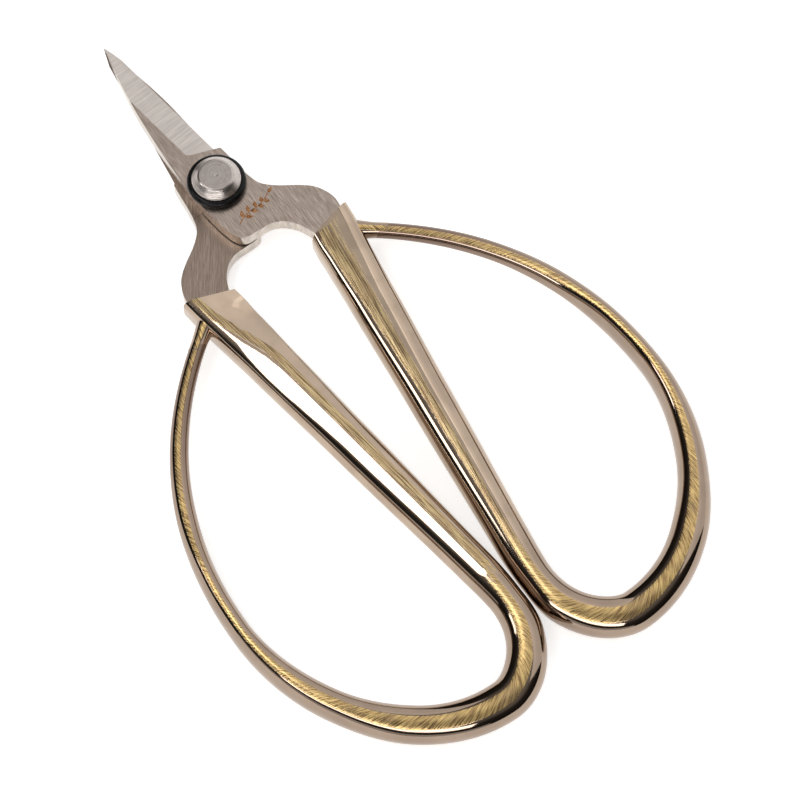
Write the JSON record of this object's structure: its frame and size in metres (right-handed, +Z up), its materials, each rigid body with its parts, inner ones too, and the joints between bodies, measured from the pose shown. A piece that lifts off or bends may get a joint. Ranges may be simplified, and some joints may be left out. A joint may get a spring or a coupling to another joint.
{
  "type": "floral snips",
  "caption": "Flower-arranging snips with short pointed bevelled blades on one rivet and large closed loop handles.",
  "frame": {"origin": "on the pivot's axis, in the plane the closed snips lie on, at the middle of the rivet's flat tail", "axes": "+Y from the pivot to the blades' tip, +Z up along the pivot's axis to the rivet's head, +X towards the handle of the upper blade"},
  "size_m": [0.1103, 0.1798, 0.0126],
  "materials": {
    "blade_steel": "brushed with fine ground bevels",
    "handle_bronze": "polished dark bronze, brushed golden on the crests",
    "rivet_steel": "turned",
    "ring_rubber": "glossy moulded"
  },
  "bodies": {
    "lower_half": {"lower_blade": "blade_steel", "left_handle": "handle_bronze", "pivot_rivet": "rivet_steel", "tension_ring": "ring_rubber"},
    "upper_half": {"upper_blade": "blade_steel", "right_handle": "handle_bronze"}
  },
  "joints": [
    {"name": "pivot", "type": "hinge", "parent": "lower_half", "child": "upper_half", "pos_m": [0, 0, 0], "axis": [0, 0, 1], "range_deg": [0, 50]}
  ]
}
